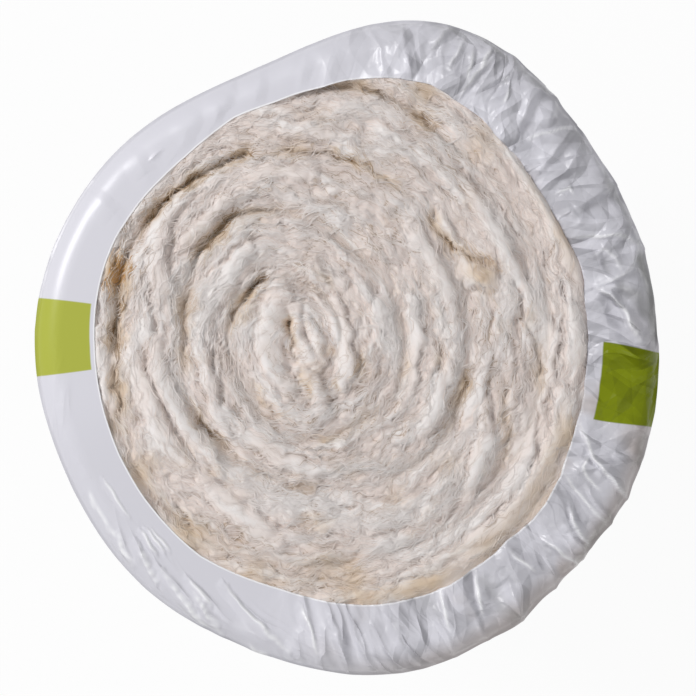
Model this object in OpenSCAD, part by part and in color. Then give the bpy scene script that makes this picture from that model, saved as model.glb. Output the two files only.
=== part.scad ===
// Roll of mineral wool insulation, standing on one end.
// A wool blanket is wound up on itself with no core and held by a sleeve of plastic film.
// The film is drawn in over the edge of both ends and leaves a wide opening there,
// where the turns of the blanket show as a spiral.
// Millimetres. +Z is the axis of the roll, and the origin is the middle of the base's box.

/* [Roll] */
// Length of the roll, which is the width of the blanket
roll_length = 1200; // [400:10:1500]
// Mean diameter over the film
roll_d = 446; // [400:1:600]
// Heights of the 2- to 7-lobed parts of the slumped outline
slump_height = [4.8, 5.5, 3.9, 2.7, 0.6, 1.6]; // [0:0.1:6]
// Heading of the first high point of each part, in degrees from +X
slump_heading = [68, 59, 74, 72, 20, 24]; // [0:1:180]

/* [Film wrap] */
// Thickness of the film
film_t = 0.5; // [0.3:0.1:2]
// Radius of the film's bend over the edge of an end
rim_r = 20; // [6:1:22]
// Mean diameter of the opening in each end
opening_d = 361; // [240:1:366]
// Heights of the 2- to 5-lobed parts of the opening
opening_height = [5.3, 4.3, 1.5, 1.2]; // [0:0.1:6]
// Heading of the first high point of each part, in degrees from +X
opening_heading = [104, 71, 76, 13]; // [0:1:180]

/* [Wool blanket] */
// Thickness of one turn, squeezed in the roll
turn_pitch = 43; // [25:1:80]
// Depth of the crease between two turns at an end
crease_depth = 14; // [2:1:30]
// Where the blanket starts, in the middle of the spiral
eye = [-38, 5]; // [-60:1:60]
// Heading where the outermost crease runs out under the film
crease_end = 240; // [0:6:354]
// Room between the wool and the film
fit_gap = 0.3; // [0.1:0.1:1]

/* [Resolution] */
// Flats round the outline
flats = 60; // [36:6:96]
// Flats round the bend of the rim
rim_flats = 5; // [3:1:8]

/* [Hidden] */

// Steps across the edge of one turn, an even number so that one falls on its crest
turn_steps = 4;
step_angle = 360 / flats;
turns = opening_d / 2 / turn_pitch;
crease_steps = round(turns * flats);
wool_inset = film_t + fit_gap;

function unit(v) = v / norm(v);
function mix(a, b, f) = a + (b - a) * f;
function heading(a) = [cos(a), sin(a)];
function lobes(heights, headings, a) =
    [for (i = [0:len(heights) - 1]) heights[i] * cos((i + 2) * (a - headings[i]))] * [for (h = heights) 1];

// Outline of the roll over the film, moved so that its box is centred on the axis
raw_outline = [for (i = [0:flats - 1]) let (a = i * step_angle)
    (roll_d / 2 + lobes(slump_height, slump_heading, a)) * heading(a)];
box_middle = [for (axis = [0, 1]) let (c = [for (p = raw_outline) p[axis]]) (min(c) + max(c)) / 2];
outline = [for (p = raw_outline) p - box_middle];

// Edge of the opening, and the way in from each point of the outline to it
opening = [for (i = [0:flats - 1]) let (a = i * step_angle)
    (opening_d / 2 + lobes(opening_height, opening_heading, a)) * heading(a)];
inward = [for (i = [0:flats - 1]) unit(opening[i] - outline[i])];

// A ring at one height, set in from the outline
function ring(inset, z) = [for (i = [0:flats - 1]) let (p = outline[i] + inset * inward[i]) [p.x, p.y, z]];
function raised(points, z) = [for (p = points) [p.x, p.y, z]];

// The bend of the rim as [inset, height] from the side round to the end, for a skin set in by depth
function rim_bend(depth) = [for (i = [0:rim_flats]) let (a = 90 * i / rim_flats)
    [rim_r - (rim_r - depth) * cos(a), rim_r - (rim_r - depth) * sin(a)]];

// Rings of that skin from the foot of the lower bend to the top of the upper one
function side_rings(depth) = let (bend = rim_bend(depth), last = len(bend) - 1) concat(
    [for (i = [last:-1:0]) ring(bend[i][0], bend[i][1])],
    [for (b = bend) ring(b[0], roll_length - b[1])]);

// Faces between rings of equal length, each ring joined to the next
function band(first, second) = [for (i = [0:flats - 1]) let (n = (i + 1) % flats)
    [first * flats + i, second * flats + i, second * flats + n, first * flats + n]];
function bands(count) = [for (r = [0:count - 2]) each band(r, r + 1)];
function flattened(rings) = [for (r = rings) each r];
function without_repeats(face) =
    [for (i = [0:len(face) - 1]) if (face[i] != face[(i + 1) % len(face)]) face[i]];

// The end of the wound blanket: rows of points across its edge, one row for each step along the crease.
// Rows start one turn before the crease leaves the eye, and end where it runs out at the opening.
last_row = crease_steps + flats;
function flat_of(row) = ((round(crease_end / step_angle) + row - last_row) % flats + flats) % flats;
function crease_share(row) = max(0, row - flats) / crease_steps;
function crease_fade(share) = min(1, 2 * turns * (1 - share));
function crease_point(row) = let (share = crease_share(row), p = mix(eye, opening[flat_of(row)], share))
    [p.x, p.y, -mix(wool_inset, crease_depth, crease_fade(share))];
function edge_point(row) = let (p = opening[flat_of(row)]) [p.x, p.y, -wool_inset];
function outer_point(row) = row + flats <= last_row ? crease_point(row + flats) : edge_point(row);
function turn_point(row, step) =
    let (inner = crease_point(row), outer = outer_point(row), share = step / turn_steps)
    let (p = mix(inner, outer, share), nearer = share < 0.5 ? inner.z : outer.z)
    let (fullness = min(1, 2 * norm(outer - inner) / turn_pitch))
    [p.x, p.y, mix(p.z, nearer * (1 - sin(180 * share)), fullness)];
end_points = [for (row = [0:last_row]) for (step = [0:turn_steps - 1]) turn_point(row, step)];

// Number of a point in the end's own list, or of a point of the opening's edge, which comes after it
function edge_number(row) = len(end_points) + flat_of(row);
function point_number(row, step) =
    row == 0 || (step == 0 && row <= flats) ? 0 :
    row == last_row ? edge_number(row) :
    step < turn_steps ? row * turn_steps + step :
    row + flats < last_row ? point_number(row + flats, 0) : edge_number(row);
end_faces = [for (row = [0:last_row - 1]) for (step = [0:turn_steps - 1])
    let (face = without_repeats([point_number(row, step), point_number(row + 1, step),
        point_number(row + 1, step + 1), point_number(row, step + 1)]))
    if (len(face) > 2) face];

module film_wrap() {
    outer = concat([raised(opening, 0)], side_rings(0), [raised(opening, roll_length)]);
    inner = concat([raised(opening, film_t)], side_rings(film_t), [raised(opening, roll_length - film_t)]);
    count = len(outer);
    rings = concat(outer, [for (i = [count - 1:-1:0]) inner[i]]);
    color("whitesmoke") polyhedron(flattened(rings), concat(bands(2 * count), band(2 * count - 1, 0)));
}

module wool_roll() {
    side = side_rings(wool_inset);
    rings = concat([raised(opening, wool_inset)], side, [raised(opening, roll_length - wool_inset)]);
    side_points = len(rings) * flats;
    top = side_points;
    base = top + len(end_points);
    edge_of_top = side_points - flats;
    function top_number(n) = n < len(end_points) ? top + n : edge_of_top + n - len(end_points);
    function base_number(n) = n < len(end_points) ? base + n : n - len(end_points);
    color("linen") polyhedron(
        concat(flattened(rings),
            [for (p = end_points) [p.x, p.y, roll_length + p.z]],
            [for (p = end_points) [p.x, p.y, -p.z]]),
        concat(bands(len(rings)),
            [for (f = end_faces) [for (n = f) top_number(n)]],
            [for (f = end_faces) [for (i = [len(f) - 1:-1:0]) base_number(f[i])]]));
}

wool_roll();
film_wrap();
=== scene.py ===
import math
import bpy
import numpy as np
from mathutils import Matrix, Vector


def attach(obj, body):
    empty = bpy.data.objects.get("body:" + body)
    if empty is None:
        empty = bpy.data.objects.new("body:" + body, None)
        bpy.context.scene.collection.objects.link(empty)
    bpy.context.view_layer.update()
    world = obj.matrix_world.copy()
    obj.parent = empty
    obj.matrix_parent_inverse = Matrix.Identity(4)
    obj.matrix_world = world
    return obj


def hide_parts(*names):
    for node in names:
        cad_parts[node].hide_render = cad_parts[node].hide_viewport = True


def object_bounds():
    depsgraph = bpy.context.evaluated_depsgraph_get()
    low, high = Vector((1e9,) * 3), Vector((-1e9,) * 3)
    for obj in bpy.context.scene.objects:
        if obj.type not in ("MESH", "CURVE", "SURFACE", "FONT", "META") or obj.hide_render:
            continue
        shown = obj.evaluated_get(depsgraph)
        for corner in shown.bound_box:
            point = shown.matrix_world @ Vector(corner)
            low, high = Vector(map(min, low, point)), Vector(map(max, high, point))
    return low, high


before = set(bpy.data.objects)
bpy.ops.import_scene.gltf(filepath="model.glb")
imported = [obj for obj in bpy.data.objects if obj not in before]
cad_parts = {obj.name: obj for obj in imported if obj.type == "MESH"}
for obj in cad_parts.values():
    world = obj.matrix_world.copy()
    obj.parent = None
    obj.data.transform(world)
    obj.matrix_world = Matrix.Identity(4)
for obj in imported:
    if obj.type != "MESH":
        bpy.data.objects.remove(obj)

cadBox = [[float(v) for v in corner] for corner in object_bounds()]
rollLength = cadBox[1][2]
print("stage: frame loaded, roll length", round(rollLength, 3))


# the roll's own form, in metres and degrees, as the part's source has it
rollForm = {
    "meanRadius": 0.223,
    "slumpHeight": (0.0048, 0.0055, 0.0039, 0.0027, 0.0006, 0.0016),     # two lobes, three lobes and so on
    "slumpHeading": (68, 59, 74, 72, 20, 24),
    "openingRadius": 0.1805,
    "openingHeight": (0.0053, 0.0043, 0.0015, 0.0012),
    "openingHeading": (104, 71, 76, 13),
    "rimRadius": 0.020,
    # the film's edge on the upper end, drawn in or let out from that opening: heading and metres outwards
    "hemSteps": (
        (-180, -0.003), (-155, -0.0005), (-125, 0.0005), (-112, -0.003), (-104, -0.004), (-90, -0.002),
        (-76, -0.003), (-63, -0.007), (-50, -0.011), (-38, -0.007), (-18, -0.008), (-5, -0.0045), (12, 0.0),
        (19, 0.003), (30, 0.0012), (52, 0.0012), (73, 0.0046), (83, 0.001), (95, -0.004), (106, -0.004),
        (116, 0.0), (130, -0.002), (155, -0.001),
    ),
}
halfDegrees = np.arange(0, 360, 0.5)


def headingVectors(degrees):
    a = np.radians(degrees)
    return np.stack([np.cos(a), np.sin(a)], -1)


def lobes(heights, headings, degrees):
    total = 0
    for count, (height, heading) in enumerate(zip(heights, headings), start=2):
        total = total + height * np.cos(np.radians(count * (degrees - heading)))
    return total


def rawOutline(degrees):
    uneven = lobes(rollForm["slumpHeight"], rollForm["slumpHeading"], degrees)
    return (rollForm["meanRadius"] + uneven)[..., None] * headingVectors(degrees)


fineRound = rawOutline(halfDegrees)
outlineMiddle = (fineRound.min(0) + fineRound.max(0)) / 2


def outlinePoints(degrees):
    return rawOutline(degrees) - outlineMiddle


def openingPoints(degrees):
    uneven = lobes(rollForm["openingHeight"], rollForm["openingHeading"], degrees)
    return (rollForm["openingRadius"] + uneven)[..., None] * headingVectors(degrees)


def hemPoints(degrees):
    headings, steps = np.array(rollForm["hemSteps"]).T
    outwards = np.interp(degrees, headings, steps, period=360)
    return openingPoints(degrees) + outwards[..., None] * headingVectors(degrees)


def inwardVectors(degrees):
    way = openingPoints(degrees) - outlinePoints(degrees)
    return way / np.linalg.norm(way, axis=-1, keepdims=True)


# the photo is square and looks straight down on the upper end
photoView = {
    "pixel": 0.00071,        # metres on the roll for one pixel
    "rollMiddle": (346.5, 347.5),
    "frameWidth": 696,
    "cameraAbove": 2.2,      # metres above the rim
    "sensor": 36.0,
}


def fromPhoto(x, y):
    middleX, middleY = photoView["rollMiddle"]
    return (x - middleX) * photoView["pixel"], (middleY - y) * photoView["pixel"]


def smooth(low, high, x):
    t = np.clip((x - low) / (high - low), 0, 1)
    return t * t * (3 - 2 * t)


def turnedAway(degrees, middle):
    return np.abs((degrees - middle + 180) % 360 - 180)


def endsFaded(where, tip, power=0.5):
    # 1 at the middle of a drawn line, less towards its two ends
    return np.sin(np.pi * np.clip(where, tip, 1 - tip)) ** power


def distanceToLine(points, corners):
    # distance from a line through pixels of the photo, place along it from 0 to 1, and side of it
    corners = [np.array(fromPhoto(*corner)) for corner in corners]
    lengths = [np.linalg.norm(b - a) for a, b in zip(corners[:-1], corners[1:])]
    nearest = np.full(len(points), 1e3)
    where, side = np.zeros(len(points)), np.zeros(len(points))
    run = 0.0
    for a, b, length in zip(corners[:-1], corners[1:], lengths):
        along = np.clip(((points - a) @ (b - a)) / length ** 2, 0, 1)
        away = np.linalg.norm(points - a - along[:, None] * (b - a), axis=1)
        where = np.where(away < nearest, (run + along * length) / sum(lengths), where)
        left = (b - a)[0] * (points - a)[:, 1] - (b - a)[1] * (points - a)[:, 0]
        side = np.where(away < nearest, np.sign(left), side)
        nearest = np.minimum(nearest, away)
        run += length
    return nearest, where, side


def wavered(points, reach):
    # the same points, pushed about by a few crossed waves, so that a line drawn there is uneven
    x, y = points[:, 0], points[:, 1]
    sideways = np.sin(190 * y + 3.1 * np.sin(95 * x)) + 0.6 * np.sin(410 * y + 260 * x)
    upward = np.sin(210 * x + 2.7 * np.sin(110 * y)) + 0.6 * np.sin(380 * x - 300 * y)
    return points + reach * np.stack([sideways, upward], 1)


def toLinear(red, green, blue):
    def one(c):
        c = c / 255
        return c / 12.92 if c <= 0.04045 else ((c + 0.055) / 1.055) ** 2.4
    return (one(red), one(green), one(blue), 1.0)


def paints(colours):
    return {name: toLinear(*colour) for name, colour in colours.items()}


# small helpers that add one node; most hand back its output
def put(tree, socket, value):
    if isinstance(value, bpy.types.NodeSocket):
        tree.links.new(value, socket)
    else:
        socket.default_value = value


def addNode(tree, kind, inputs, **settings):
    node = tree.nodes.new(kind)
    for name, value in settings.items():
        setattr(node, name, value)
    for name, value in inputs.items():
        put(tree, node.inputs[name], value)
    return node


def calc(tree, operation, *values):
    return addNode(tree, "ShaderNodeMath", dict(enumerate(values)), operation=operation).outputs[0]


def times(tree, first, *others):
    for other in others:
        first = calc(tree, "MULTIPLY", first, other)
    return first


def timesPlus(tree, value, factor, added):
    return calc(tree, "MULTIPLY_ADD", value, factor, added)


def minus(tree, value, other):
    return calc(tree, "SUBTRACT", value, other)


def ridge(tree, value):
    return minus(tree, 1.0, calc(tree, "ABSOLUTE", timesPlus(tree, value, 2.0, -1.0)))


def vector(tree, x, y, z):
    return addNode(tree, "ShaderNodeCombineXYZ", {0: x, 1: y, 2: z}).outputs[0]


def vectorMath(tree, operation, *values, output=0):
    node = addNode(tree, "ShaderNodeVectorMath", dict(enumerate(values)), operation=operation)
    return node.outputs[output]


def scaled(tree, value, factor):
    return addNode(tree, "ShaderNodeVectorMath", {0: value, "Scale": factor}, operation="SCALE").outputs[0]


def noise(tree, place, scale=1.0, detail=2.0, roughness=0.5, distortion=0.0):
    return addNode(tree, "ShaderNodeTexNoise", {
        "Vector": place, "Scale": scale, "Detail": detail, "Roughness": roughness,
        "Distortion": distortion}).outputs[0]


def swing(tree, place, scale, detail=1.0):
    # noise that swings about nought
    return minus(tree, noise(tree, place, scale=scale, detail=detail), 0.5)


def cells(tree, place, feature):
    node = addNode(tree, "ShaderNodeTexVoronoi", {"Vector": place, "Scale": 1.0}, feature=feature)
    return node.outputs["Distance"]


def ramp(tree, value, low, high, outLow=0.0, outHigh=1.0):
    sizes = {"Value": value, "From Min": low, "From Max": high, "To Min": outLow, "To Max": outHigh}
    return addNode(tree, "ShaderNodeMapRange", sizes, interpolation_type="SMOOTHSTEP").outputs[0]


def tint(tree, share, first, second):
    node = addNode(tree, "ShaderNodeMix", {"Factor": share, 6: first, 7: second}, data_type="RGBA")
    return node.outputs[2]


def randomValue(tree, low, high, seed):
    node = addNode(tree, "FunctionNodeRandomValue", {2: low, 3: high, "Seed": seed}, data_type="FLOAT")
    return node.outputs[1]


def position(tree):
    return tree.nodes.new("GeometryNodeInputPosition").outputs[0]


def named(tree, name, kind="FLOAT"):
    node = addNode(tree, "GeometryNodeInputNamedAttribute", {"Name": name}, data_type=kind)
    return node.outputs["Attribute"]


def store(tree, geometry, name, value):
    return addNode(tree, "GeometryNodeStoreNamedAttribute", {
        "Geometry": geometry, "Name": name, "Value": value}, data_type="FLOAT", domain="POINT").outputs[0]


def moved(tree, geometry, offset):
    return addNode(tree, "GeometryNodeSetPosition", {"Geometry": geometry, "Offset": offset}).outputs[0]


def realized(tree, geometry):
    return addNode(tree, "GeometryNodeRealizeInstances", {"Geometry": geometry}).outputs[0]


def finished(tree, geometry, material):
    inputs = {"Geometry": realized(tree, geometry), "Material": material}
    return addNode(tree, "GeometryNodeSetMaterial", inputs).outputs[0]


def attribute(tree, name, output="Fac"):
    return addNode(tree, "ShaderNodeAttribute", {}, attribute_name=name).outputs[output]


def bump(tree, height, distance, strength=1.0):
    sizes = {"Height": height, "Distance": distance, "Strength": strength}
    return addNode(tree, "ShaderNodeBump", sizes).outputs[0]


# whole objects, trees and materials
def meshFrom(name, points, faces, values):
    mesh = bpy.data.meshes.new(name)
    mesh.from_pydata([tuple(p) for p in points], [], faces)
    for key, data in values.items():
        data = np.asarray(data, np.float32)
        kind, field = ("FLOAT", "value") if data.ndim == 1 else ("FLOAT_VECTOR", "vector")
        mesh.attributes.new(key, kind, "POINT").data.foreach_set(field, data.ravel())
    mesh.polygons.foreach_set("use_smooth", np.ones(len(mesh.polygons), bool))
    mesh.update()
    obj = bpy.data.objects.new(name, mesh)
    bpy.context.scene.collection.objects.link(obj)
    return obj


def nodeTree(name, sizes):
    tree = bpy.data.node_groups.new(name, "GeometryNodeTree")
    tree.interface.new_socket("Geometry", in_out="INPUT", socket_type="NodeSocketGeometry")
    for key, value in sizes.items():
        kind = "NodeSocketInt" if isinstance(value, int) else "NodeSocketFloat"
        tree.interface.new_socket(key, in_out="INPUT", socket_type=kind).default_value = value
    tree.interface.new_socket("Material", in_out="INPUT", socket_type="NodeSocketMaterial")
    tree.interface.new_socket("Geometry", in_out="OUTPUT", socket_type="NodeSocketGeometry")
    source = tree.nodes.new("NodeGroupInput")
    return tree, source.outputs, tree.nodes.new("NodeGroupOutput").inputs[0]


def applyTree(obj, tree, sizes):
    modifier = obj.modifiers.new(tree.name, "NODES")
    modifier.node_group = tree
    for item in tree.interface.items_tree:
        if item.item_type == "SOCKET" and item.in_out == "INPUT" and item.name in sizes:
            modifier[item.identifier] = sizes[item.name]
    shown = obj.evaluated_get(bpy.context.evaluated_depsgraph_get())
    mesh = bpy.data.meshes.new_from_object(shown)
    obj.modifiers.remove(modifier)
    old = obj.data
    obj.data = mesh
    bpy.data.meshes.remove(old)
    mesh.name = obj.name
    return obj


def newMaterial(name):
    material = bpy.data.materials.new(name)
    material.use_nodes = True
    return material, material.node_tree, material.node_tree.nodes["Principled BSDF"]


# the wool: one blanket wound on itself; metres, and points in pixels of the photo
wool = {
    "upperSteps": 268,       # squares across the upper end; the lower end has half
    "underFilm": 0.0035,     # room left for the film
    "rimBends": (60, 30, 0),     # degrees at which a ring of points goes round the rim
    "eye": (-0.034, 0.005),
    # side of the roll on which the turns stand open: heading, how far it goes and fades, share elsewhere
    "openSide": (150, 40, 125, 0.3),
    "relief": {
        "Pitch": 0.043,          # the blanket's thickness as it is wound
        "Hem Dip": 0.0012,       # the wool sits this far below the film's edge on the open side
        "Hem Fill": 0.0015,      # and at least this high beside it on the other
        "Hem Limit": 0.0028,
        "Crease Depth": 0.006,
        "Crease Width": 0.0026,
        "Crease Start": 0.020,   # distance from the eye
        "Fold Share": 0.8,       # of the depth listed for the open folds
        "Crown": 0.006,
        "Eye Start": 0.012,      # the turns grow out of the eye between these two distances
        "Eye End": 0.040,
        "Eye Share": 0.15,
        "Eye Swell": 0.005,
        "Pad Smoothing": 0.78,
        "Lump Height": 0.0036,
        "Band Height": 0.0042,
        "Braid Height": 0.0020,
        "Strand Height": 0.0006,
        "Hill Mean": 0.6,
        "Pressed Height": 0.0022,    # the lower end is pressed flat by the floor
    },
    "wander": (17.0, 0.16),      # bends of the turns: scale, share of a turn
    "sway": ((26.0, 0.020), (70.0, 0.011), (190.0, 0.004)),      # bends of the felted lines: scale, reach
    "layerStep": 31.7,           # keeps the two ends from looking alike
    # lines of the felted wool: how many lie in a metre along and across its turns
    "flow": {
        "lump": (15.0, 34.0),
        "band": (9.0, 60.0),
        "braid": (24.0, 125.0),
        "strand": (60.0, 270.0),
        "hair": (210.0, 800.0),
    },
    "fullness": {"lump": 2.2, "band": 2.6, "braid": 2.6, "strand": 2.4},     # more makes narrower valleys
    "colours": {
        "white": (233, 228, 226),
        "rosy": (231, 219, 213),
        "duskShade": (212, 197, 189),
        "grooveShade": (170, 148, 126),
        "tan": (211, 186, 154),
        "orange": (196, 146, 78),
        "shade": (144, 110, 68),
    },
    # the most that each place takes of its colour
    "tints": {
        "valley": 0.6, "line": 0.7, "grooveShade": 0.8, "blush": 0.35, "pad": 0.4, "stain": 0.75, "warmShade": 0.6,
        "crease": 0.35, "hollow": 0.85, "orange": 0.8,
    },
    # scale of the patches in which each of these comes and goes
    "patches": {"opened": 14.0, "swell": 42.0, "curl": 240.0, "mottle": 95.0, "grooveShade": 13.0, "blush": 30.0},
    "curl": 0.008,               # how far the hairs stray
    "warmShadeDepth": (0.0006, 0.0052),       # of a fold at which its painted warm shade starts and is full
    "foldShade": 95.0,           # how soon a fold takes its painted shade, in each metre of depth
    "creaseShade": 0.45,
    "roughness": 0.9,
    "shine": 0.25,
    "bump": (0.0022, 0.45),      # distance, strength
    "bumpShares": {"hair": 0.45, "mottle": 0.25, "strand": 0.3},
    # the crease between the turns, from the eye outwards
    "crease": (
        (340, 343), (331, 305), (309, 286), (284, 277), (261, 280), (239, 305), (227, 340), (240, 375),
        (268, 416), (313, 439), (357, 423), (393, 403), (406, 350), (393, 293), (353, 251), (300, 215),
        (234, 217), (193, 268), (185, 335), (190, 392), (224, 444), (265, 475), (322, 490), (385, 480),
        (444, 434), (464, 383), (466, 320), (450, 246), (402, 190), (338, 157), (255, 152), (186, 186),
        (135, 246), (119, 320), (122, 430), (188, 526), (295, 566), (400, 550), (496, 486), (535, 400),
        (545, 300), (505, 200), (444, 139), (374, 93), (300, 92),
    ),
    "foldWaver": 0.0016,
    "foldWidth": 0.75,           # share of the width listed below
    "warmShadeWidth": 2.5,
    # open folds in the upper end: pixels, depth, width
    "folds": (
        (((266, 272), (262, 279), (250, 290), (241, 305)), 0.0091, 0.0022),
        (((241, 305), (236, 316), (231, 330)), 0.0049, 0.0030),
        (((234, 216), (217, 237), (197, 262)), 0.0070, 0.0018),
        (((197, 262), (188, 300), (185, 335), (190, 392)), 0.0042, 0.0032),
        (((128, 256), (121, 290), (118, 340), (120, 390), (124, 432)), 0.0063, 0.0030),
        (((215, 172), (188, 184), (160, 206), (142, 236)), 0.0063, 0.0022),
        (((258, 147), (240, 158), (215, 172)), 0.0056, 0.0024),
        (((262, 160), (300, 152), (335, 157), (368, 168), (392, 184), (411, 200)), 0.0063, 0.0018),
        (((320, 88), (345, 84), (380, 95), (402, 103)), 0.0042, 0.0024),
        (((402, 103), (422, 118), (434, 134)), 0.0056, 0.0022),
        (((424, 196), (432, 220), (447, 246), (472, 255), (492, 264), (507, 270)), 0.0056, 0.0017),
        (((458, 283), (470, 292), (484, 294), (496, 286)), 0.0042, 0.0017),
        (((289, 311), (288, 326), (295, 342), (295, 358), (291, 365)), 0.0058, 0.0016),
        (((298, 367), (306, 384), (312, 400)), 0.0050, 0.0018),
        (((254, 378), (262, 398), (276, 416), (300, 430)), 0.0042, 0.0022),
        (((296, 432), (310, 440), (340, 436), (358, 424)), 0.0042, 0.0020),
        (((198, 412), (207, 428), (224, 444), (247, 462)), 0.0049, 0.0028),
        (((247, 462), (265, 474), (292, 483), (320, 490)), 0.0042, 0.0022),
        (((459, 360), (464, 385), (456, 408), (444, 432)), 0.0042, 0.0024),
        (((499, 360), (505, 400), (506, 440), (504, 466)), 0.0042, 0.0026),
        (((408, 340), (409, 362), (402, 384)), 0.0035, 0.0020),
        (((176, 500), (188, 522), (196, 532)), 0.0063, 0.0026),
        (((300, 566), (330, 562), (360, 556)), 0.0042, 0.0022),
        (((290, 118), (312, 112), (330, 120)), 0.0028, 0.0020),
        (((287, 320), (288, 324), (288, 327)), 0.0090, 0.0011),
        (((353, 381), (360, 368), (363, 347)), 0.0049, 0.0020),
        (((334, 378), (335, 394)), 0.0049, 0.0020),
        (((310, 262), (330, 282), (346, 300)), 0.0035, 0.0018),
        (((430, 300), (440, 340), (436, 380)), 0.0035, 0.0024),
        (((520, 300), (536, 350), (540, 400)), 0.0035, 0.0024),
    ),
    "padWaver": 0.0012,
    # smooth lobes and bands of the blanket: pixels, half the width, height, share of tan
    "pads": (
        (((281, 297), (273, 321), (270, 347), (275, 371), (286, 388)), 0.0100, 0.0075, 0.0),
        (((293, 309), (300, 337), (308, 356), (318, 368)), 0.0052, 0.0065, 0.0),
        (((299, 367), (311, 380), (319, 396), (324, 410)), 0.0060, 0.0065, 0.0),
        (((330, 304), (343, 334), (346, 360), (341, 381)), 0.0072, 0.0065, 0.0),
        (((313, 266), (318, 279)), 0.0065, 0.0045, 0.1),
        (((308, 317), (318, 346), (324, 362)), 0.0042, 0.0055, 0.15),
        (((380, 305), (382, 322)), 0.0060, 0.0035, 0.0),
        (((463, 183), (480, 212), (499, 242), (520, 283), (535, 311)), 0.0055, 0.0035, 0.0),
        (((438, 219), (449, 242)), 0.0050, 0.0030, 0.0),
        (((464, 269), (475, 275), (487, 280)), 0.0090, 0.0060, 0.55),
        (((411, 223), (428, 254), (442, 279), (453, 307), (457, 330)), 0.0050, 0.0032, 0.0),
        (((411, 300), (415, 340), (409, 378), (401, 407)), 0.0055, 0.0040, 0.0),
        (((453, 357), (438, 394), (426, 418)), 0.0055, 0.0035, 0.0),
        (((482, 350), (478, 388), (472, 410)), 0.0060, 0.0030, 0.0),
        (((539, 302), (551, 340), (545, 374), (537, 407)), 0.0055, 0.0035, 0.0),
        (((505, 141), (533, 185), (551, 218), (569, 260), (578, 292)), 0.0060, 0.0030, 0.35),
        (((567, 311), (576, 340), (571, 378)), 0.0060, 0.0030, 0.25),
        (((443, 390), (433, 416), (423, 431)), 0.0060, 0.0040, 0.0),
        (((479, 395), (487, 435), (476, 460), (468, 496)), 0.0055, 0.0035, 0.0),
        (((529, 397), (527, 435), (521, 463), (502, 494), (476, 518)), 0.0060, 0.0035, 0.0),
        (((566, 397), (553, 446), (533, 483), (511, 513), (479, 539), (430, 561)), 0.0080, 0.0035, 0.3),
        (((479, 560), (446, 574), (413, 585), (363, 596)), 0.0065, 0.0030, 0.35),
        (((338, 496), (360, 499)), 0.0045, 0.0030, 0.0),
        (((183, 189), (163, 224), (158, 259), (163, 287), (165, 315)), 0.0075, 0.0042, 0.0),
        (((226, 201), (206, 226), (184, 246)), 0.0060, 0.0035, 0.0),
        (((249, 246), (233, 271), (223, 296)), 0.0060, 0.0042, 0.0),
        (((289, 133), (330, 135)), 0.0065, 0.0030, 0.0),
        (((252, 170), (314, 176)), 0.0060, 0.0030, 0.0),
        (((135, 357), (149, 401), (165, 437), (190, 466)), 0.0075, 0.0040, 0.0),
        (((156, 341), (161, 375), (183, 416), (201, 448)), 0.0065, 0.0035, 0.0),
        (((201, 344), (211, 375), (215, 407), (227, 435)), 0.0045, 0.0045, 0.0),
        (((247, 432), (278, 455), (313, 473)), 0.0070, 0.0035, 0.0),
        (((206, 482), (242, 517), (278, 541)), 0.0085, 0.0035, 0.0),
        (((104, 348), (110, 389), (117, 416)), 0.0050, 0.0035, 0.0),
    ),
    # tan and orange marks of binder on the upper end: pixel, reach, strength
    "marks": (
        ((482, 281), 0.010, 0.5), ((120, 276), 0.008, 3.0), ((119, 262), 0.007, 1.2),
        ((362, 421), 0.010, 0.6), ((448, 465), 0.013, 0.5), ((398, 494), 0.011, 0.6),
        ((340, 590), 0.030, 0.8), ((250, 575), 0.022, 0.8), ((190, 530), 0.020, 0.8),
        ((140, 470), 0.018, 0.7), ((424, 95), 0.014, 0.7), ((560, 230), 0.016, 0.55),
        ((577, 440), 0.018, 0.7), ((540, 500), 0.020, 0.5), ((244, 300), 0.010, 0.9),
        ((330, 350), 0.006, 0.5), ((120, 420), 0.014, 0.7), ((465, 384), 0.006, 1.0),
        ((430, 590), 0.022, 0.6), ((500, 555), 0.022, 0.5), ((480, 150), 0.016, 0.5),
    ),
}


def discGrid(steps):
    # a square grid pressed into a round one, so that no pole is left in the middle
    line = np.linspace(-1, 1, steps + 1)
    u, v = np.meshgrid(line, line, indexing="xy")
    wide = np.abs(u) > np.abs(v)
    reach = np.where(wide, u, v)
    safe = np.where(reach == 0, 1, reach)
    angle = np.where(wide, 45 * v / safe, 90 - 45 * u / safe)
    angle = np.where(reach < 0, angle + 180, angle)
    index = np.arange((steps + 1) ** 2).reshape(steps + 1, steps + 1)
    loop = np.concatenate([index[0, :-1], index[:-1, -1], index[-1, :0:-1], index[:0:-1, 0]])
    return np.abs(reach).ravel(), angle.ravel(), index, loop


def polarFromEye(points):
    way = points - np.array(wool["eye"])
    return way, np.degrees(np.arctan2(way[:, 1], way[:, 0])) % 360, np.linalg.norm(way, axis=1)


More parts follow.
